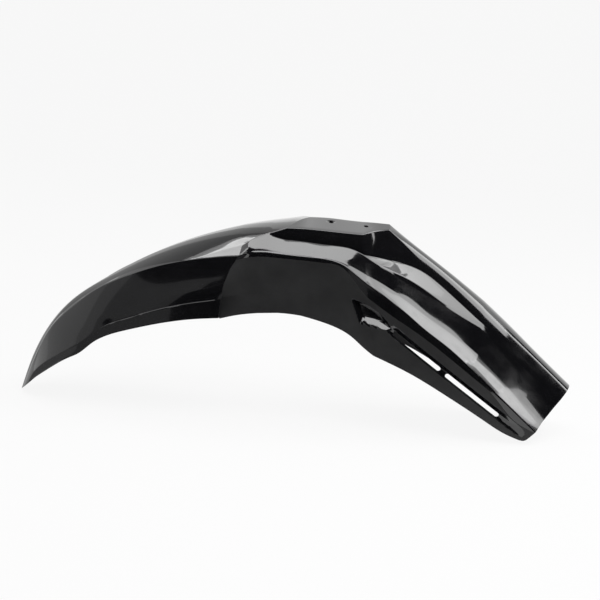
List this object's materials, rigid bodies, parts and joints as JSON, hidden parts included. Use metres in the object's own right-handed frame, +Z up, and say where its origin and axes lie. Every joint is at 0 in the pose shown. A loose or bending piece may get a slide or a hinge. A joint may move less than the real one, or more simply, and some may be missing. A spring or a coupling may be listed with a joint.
{
  "type": "motorcycle front mudguard",
  "caption": "High front mudguard for an off-road motorcycle: a moulded arch with a drooping beak, a bolted plateau, reliefs for the fork legs and a vented tail.",
  "frame": {"origin": "middle of the bolt pattern, on the plane of the flat bolt seats on top of the plateau", "axes": "+Z up along the bolts, +X from the beak to the tail, +Y to the right of a rider who faces the beak"},
  "size_m": [0.799, 0.2036, 0.2884],
  "materials": {
    "moulding": "gloss black, with fine matte texture in the fork reliefs and under the vents"
  },
  "bodies": {
    "root": {"front_mudguard": "moulding"}
  },
  "joints": []
}
